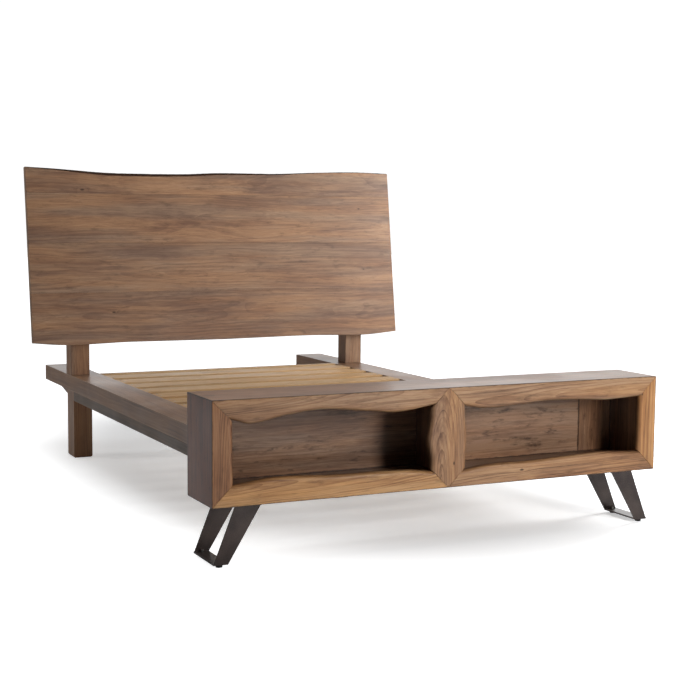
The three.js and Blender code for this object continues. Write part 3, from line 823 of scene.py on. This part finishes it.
def buildStiles():
    for name, outerX, inward in (("left", benchLow.x, 1), ("right", benchHigh.x, -1)):
        node = "frame_stile_" + name
        line = edgeLine(node, 2, 0, lambda p: onBack(p) and abs(p.x - outerX) > nearEdge)
        lines = memberLines(outerX, lambda z: line(z) + ripple(z, outerX), inward)
        lines.append((lambda z: (frameDepth, outerX + inward * frameDepth), 0.0))

        def reach(depth, x):
            return benchLow.z + abs(x - outerX), benchHigh.z - abs(x - outerX)

        buildMember(node, lines, reach, lambda z, depth, x: Vector((x, frontY + depth, z)))


# The centre stile has a live edge on both sides and comes to a point at both ends, where its
# back is also cut to clear the boards above and below.
def buildCentreStile():
    node = "frame_stile_centre"
    leftLine = edgeLine(node, 2, 0, lambda p: onBack(p) and p.x < tipX - nearEdge)
    rightLine = edgeLine(node, 2, 0, lambda p: onBack(p) and p.x > tipX + nearEdge)
    left = memberLines(tipX, lambda z: leftLine(z) + ripple(z, 5.0), -1)
    right = memberLines(tipX, lambda z: rightLine(z) + ripple(z, 8.0), 1)
    rear = [(lambda z, x=x: (frameDepth, x), 0.0) for x in (tipX - frameDepth, tipX, tipX + frameDepth)]
    lines = left + rear + list(reversed(right[1:]))
    # The ring runs from the middle of the face round the left edge, across the rear and back.
    edge = len(left)
    total = len(lines)
    caps = [
        list(range(0, edge + 1)),
        [0, edge, edge + 1, edge + 2],
        [0] + list(range(edge + 2, total)),
    ]

    def reach(depth, x):
        inset = max(abs(x - tipX), depth)
        return benchLow.z + inset, benchHigh.z - inset

    buildMember(node, lines, reach, lambda z, depth, x: Vector((x, frontY + depth, z)), caps, caps)


buildRails()
buildStiles()
buildCentreStile()
print("face frame is built")


# The headboard's live-edge plank

liveEdge = {
    "spacing": 5 * mm,
    "barkSteps": 6,
    "barkDepth": 12 * mm,
    "barkRough": 1.6 * mm,
    "barkSwell": 1.5 * mm,
    "barkTilt": 0.7,  # the swell goes as far forwards as it goes up
    "topSteps": 5,
    "topRough": 1.2 * mm,
    "topRipple": 0.8 * mm,
    "lipRough": 2.2 * mm,
    "lipBelowTop": 3 * mm,  # at least
    "belowLip": 4 * mm,
    "rearRound": 5 * mm,
    "rearCorner": 1.5 * mm,
    "easing": 0.7 * mm,
    "easedAbove": 60,  # degrees
    "smoothBelow": 24,
}


# The headboard leans back: where its face starts, and the directions up the face and into it.
def headboardFrame():
    vertices = [v.co for v in frame["nodes"]["headboard_plank_2"].data.vertices]
    foot = min(vertices, key=lambda p: p.y)
    head = max(vertices, key=lambda p: p.z)
    lean = math.atan2(head.y - foot.y, head.z - foot.z)
    origin = Vector((0.0, foot.y, foot.z))
    up = Vector((0.0, math.sin(lean), math.cos(lean)))
    inward = Vector((0.0, math.cos(lean), -math.sin(lean)))
    return origin, up, inward


def buildLiveEdgePlank():
    node = "headboard_plank_live_edge"
    origin, up, inward = headboardFrame()
    stations = {}
    for vertex in frame["nodes"][node].data.vertices:
        offset = vertex.co - origin
        key = round(vertex.co.x, 3)
        stations.setdefault(key, []).append((offset.dot(inward), offset.dot(up)))
    thickness = max(depth for points in stations.values() for depth, _ in points)
    bottom = min(height for points in stations.values() for _, height in points)
    barkDepth = liveEdge["barkDepth"]
    topBack = thickness - liveEdge["rearRound"]
    keys = sorted(stations)
    tops = [max(height for _, height in stations[key]) for key in keys]
    lips = [max(height for depth, height in stations[key] if depth < 1 * mm) for key in keys]

    def along(values, x):
        x = min(max(x, keys[0]), keys[-1])
        i = min(int((x - keys[0]) / (keys[-1] - keys[0]) * (len(keys) - 1)), len(keys) - 2)
        t = (x - keys[i]) / (keys[i + 1] - keys[i])
        before, after = values[max(i - 1, 0)], values[min(i + 2, len(keys) - 1)]
        slopeA, slopeB = (values[i + 1] - before) / 2, (after - values[i]) / 2
        return curveBetween(t, values[i], values[i + 1], slopeA, slopeB)

    def rough(x, where, size):
        broad = wobble(x * 22.0, where * 3.0, 1.0)
        fine = wobble(x * 75.0, where * 9.0, 4.0)
        return size * (0.6 * broad + 0.4 * fine)

    count = round((keys[-1] - keys[0]) / liveEdge["spacing"])
    rings = []
    for r in range(count + 1):
        x = keys[0] + (keys[-1] - keys[0]) * r / count
        top = along(tops, x) + rough(x, 0.0, liveEdge["topRough"])
        lip = min(along(lips, x) + rough(x, 2.0, liveEdge["lipRough"]), top - liveEdge["lipBelowTop"])
        ring = [(0.0, bottom), (thickness, bottom), (thickness, top - liveEdge["rearRound"]),
                (thickness - liveEdge["rearCorner"], top - liveEdge["rearCorner"])]
        firstBark = len(ring) - 1
        for i in range(liveEdge["topSteps"]):
            share = i / liveEdge["topSteps"]
            depth = topBack - share * (topBack - barkDepth)
            ring.append((depth, top + rough(x, 5.0 + share, liveEdge["topRipple"])))
        for i in range(liveEdge["barkSteps"] + 1):
            share = i / liveEdge["barkSteps"]
            rise = math.sin(share * math.pi) * liveEdge["barkSwell"]
            rise += rough(x, 11.0 + 2.0 * share, liveEdge["barkRough"]) * math.sin(share * math.pi)
            rise *= liveEdge["barkTilt"]
            ring.append((barkDepth * (1 - share) - rise, top + (lip - top) * share + rise))
        lastBark = len(ring) - 1
        ring.append((0.0, lip - liveEdge["belowLip"]))
        start = origin + Vector((x, 0, 0))
        rings.append([start + inward * depth + up * height for depth, height in ring])
    mesh = skinRings(node + "_solid", rings)
    smoothByAngle(mesh, liveEdge["smoothBelow"])
    slot = "headboard_wood"
    piece = addPiece(node + "_solid", mesh, makeWood(slot, node), rootBody, slot, node)
    mesh.materials.append(bark)
    for polygon in mesh.polygons:
        places = [index % len(rings[0]) for index in polygon.vertices]
        if len(places) == 4 and min(places) >= firstBark and max(places) <= lastBark:
            polygon.material_index = 1
    easeEdges(piece, liveEdge["easing"], 2, liveEdge["easedAbove"])


# Loose tongues that close the joints between the planks. They take the dark bark material, so that the
# joints show dark as painted shade.
tongue = {"reach": 5 * mm, "fromFaces": 3 * mm, "fromEnds": 6 * mm}


def buildTongues():
    origin, up, inward = headboardFrame()
    spans = []
    for node in frame["nodes"]:
        if node.startswith("headboard_plank_"):
            offsets = [vertex.co - origin for vertex in frame["nodes"][node].data.vertices]
            heights = [offset.dot(up) for offset in offsets]
            spans.append((min(heights), max(heights)))
            thickness = max(offset.dot(inward) for offset in offsets)
            ends = max(offset.x for offset in offsets) - tongue["fromEnds"]
    spans.sort()
    near, far = tongue["fromFaces"], thickness - tongue["fromFaces"]
    meshes = []
    for (_, top), (bottom, _) in zip(spans, spans[1:]):
        low, high = min(top, bottom) - tongue["reach"], max(top, bottom) + tongue["reach"]
        corners = [(near, low), (far, low), (far, high), (near, high)]
        meshes.append(skinRings("tongue", [
            [origin + Vector((x, 0, 0)) + inward * depth + up * height for depth, height in corners]
            for x in (-ends, ends)]))
    name = "headboard_tongues"
    addPiece(name, joinMeshes(name, meshes), bark, rootBody, "headboard_wood")


buildLiveEdgePlank()
buildTongues()
print("live-edge plank and tongues are built")


# Hardware: round parts turned about an axis

# Rings of (radius, height) pairs about an axis. A radius may be a function of the angle.
def turnRings(centre, axis, profile, sides=24):
    axis = Vector(axis).normalized()
    side = axis.orthogonal().normalized()
    other = axis.cross(side)
    rings = []
    for radius, height in profile:
        ring = []
        for i in range(sides):
            angle = 2 * math.pi * i / sides
            r = radius(angle) if callable(radius) else radius
            spoke = side * math.cos(angle) + other * math.sin(angle)
            ring.append(Vector(centre) + axis * height + spoke * r)
        rings.append(ring)
    return rings


def hexagon(flat):
    return lambda angle: flat / math.cos((angle % (math.pi / 3)) - math.pi / 6)


# A button head with a hex socket, on a plain shank. The head's top looks along the axis.
def screwRings(centre, axis, size):
    head, rise, socket, deep = size["head"], size["rise"], size["socket"], size["deep"]
    profile = [
        (0.2 * socket, rise - deep), (hexagon(socket), rise - deep), (hexagon(socket), rise),
        (socket * 1.45, rise), (head * 0.78, rise * 0.93), (head * 0.93, rise * 0.68),
        (head, rise * 0.3), (head, 0.0), (size["shank"], 0.0), (size["shank"], -size["length"]),
    ]
    return turnRings(centre, axis, profile)


headBolt = {"head": 11 * mm, "rise": 6 * mm, "socket": 3 * mm, "deep": 3 * mm, "shank": 4 * mm}
legScrew = {"head": 6 * mm, "rise": 3.2 * mm, "socket": 2 * mm, "deep": 1.8 * mm, "shank": 2.6 * mm,
            "length": 5.5 * mm, "inset": 24 * mm, "fromEnds": 48 * mm, "underPlate": 6.2 * mm}
slatScrew = {"head": 4.5 * mm, "rise": 1.2 * mm, "socket": 1.6 * mm, "deep": 0.9 * mm, "shank": 2 * mm,
             "length": 3 * mm, "inset": 16 * mm, "apart": 60 * mm}


def buildHeadBolts():
    for name in ("left", "right"):
        for i in (1, 2):
            node = "headboard_bolt_%s_%d" % (name, i)
            low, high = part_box(node)
            seat = Vector(((low.x + high.x) / 2, high.y - headBolt["rise"], (low.z + high.z) / 2))
            size = {**headBolt, "length": seat.y - low.y}
            mesh = skinRings(node + "_turned", screwRings(seat, (0, 1, 0), size))
            smoothByAngle(mesh)
            slot = "zinc_hardware"
            addPiece(node + "_turned", mesh, metalMaterials[slot], rootBody, slot, node)


def addScrews(name, seats, axis, size):
    mesh = joinMeshes(name, [skinRings("screw", screwRings(seat, axis, size)) for seat in seats])
    smoothByAngle(mesh)
    addPiece(name, mesh, metalMaterials["zinc_hardware"], rootBody, "zinc_hardware")


def buildLegScrews():
    for name in ("left", "right"):
        node = "steel_leg_" + name
        low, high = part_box(node)
        plate = [v.co.x for v in frame["nodes"][node].data.vertices if v.co.z > high.z - 0.1 * mm]
        middleX = (min(plate) + max(plate)) / 2
        seats = [(x, y, high.z - legScrew["underPlate"])
                 for x in (middleX - legScrew["inset"], middleX + legScrew["inset"])
                 for y in (low.y + legScrew["fromEnds"], high.y - legScrew["fromEnds"])]
        addScrews("leg_screws_" + name, seats, (0, 0, -1), legScrew)


def buildSlatScrews():
    slats = sorted(node for node in frame["nodes"] if node.startswith("slat_") and node[5:].isdigit())
    for name, side in (("left", -1), ("right", 1)):
        seats = []
        for node in slats:
            low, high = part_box(node)
            x = low.x + slatScrew["inset"] if side < 0 else high.x - slatScrew["inset"]
            middle = (low.y + high.y) / 2
            seats += [(x, middle + away * slatScrew["apart"] / 2, high.z) for away in (-1, 1)]
        addScrews("slat_screws_" + name, seats, (0, 0, 1), slatScrew)


# Levelling glides: a ribbed nylon pad on a threaded stem

glide = {
    "pitch": 1.25 * mm,
    "thread": 0.5 * mm,
    "stepsPerTurn": 8,
    "stem": 4 * mm,
    "sunk": 1 * mm,  # the stem's foot in the pad
    "padHeight": 9.7 * mm,
    "ribs": 24,
    "ribDepth": 0.5 * mm,
    "padSides": 96,
    "padSmooth": 50,  # degrees
    "stemSmooth": 60,
}


def buildPad(node, centre, radius):
    height = glide["padHeight"]

    def ribbed(angle):
        bulge = abs(math.cos(glide["ribs"] / 2 * angle))
        return radius - glide["ribDepth"] + glide["ribDepth"] * bulge

    profile = [(radius * 0.2, 0.0), (radius * 0.86, 0.0), (radius * 0.95, 0.5 * mm), (ribbed, 1.6 * mm),
               (ribbed, height - 3 * mm), (radius * 0.9, height - 1 * mm), (radius * 0.8, height),
               (glide["stem"] * 1.25, height - 0.1 * mm)]
    mesh = skinRings(node + "_pad", turnRings(centre, (0, 0, 1), profile, glide["padSides"]))
    smoothByAngle(mesh, glide["padSmooth"])
    addPiece(node + "_pad", mesh, metalMaterials["glide_nylon"], node, "glide_nylon", node)


# The thread fades out over its last turn.
def buildStem(node, centre, top):
    start, step = glide["padHeight"] - glide["sunk"], glide["pitch"] / glide["stepsPerTurn"]
    count = int((top - start) / step)
    profile = []
    for i in range(count + 1):
        height = start + i * step
        fade = min((count - i) / glide["stepsPerTurn"], 1.0)

        def threaded(angle, height=height, fade=fade):
            turn = (height / glide["pitch"] - angle / (2 * math.pi)) % 1.0
            return glide["stem"] - glide["thread"] * (1 - fade * (1 - abs(2 * turn - 1)))

        profile.append((threaded, height))
    mesh = skinRings(node + "_stem", turnRings(centre, (0, 0, 1), profile))
    smoothByAngle(mesh, glide["stemSmooth"])
    addPiece(node + "_stem", mesh, metalMaterials["zinc_hardware"], node, "zinc_hardware")


def buildGlides():
    for place in ("front", "rear"):
        for name in ("left", "right"):
            node = "glide_%s_%s" % (place, name)
            low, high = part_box(node)
            centre = Vector(((low.x + high.x) / 2, (low.y + high.y) / 2, low.z))
            buildPad(node, centre, (high.x - low.x) / 2)
            buildStem(node, centre, high.z - low.z)


buildHeadBolts()
buildLegScrews()
buildSlatScrews()
buildGlides()
print("bolts, screws and glides are built")
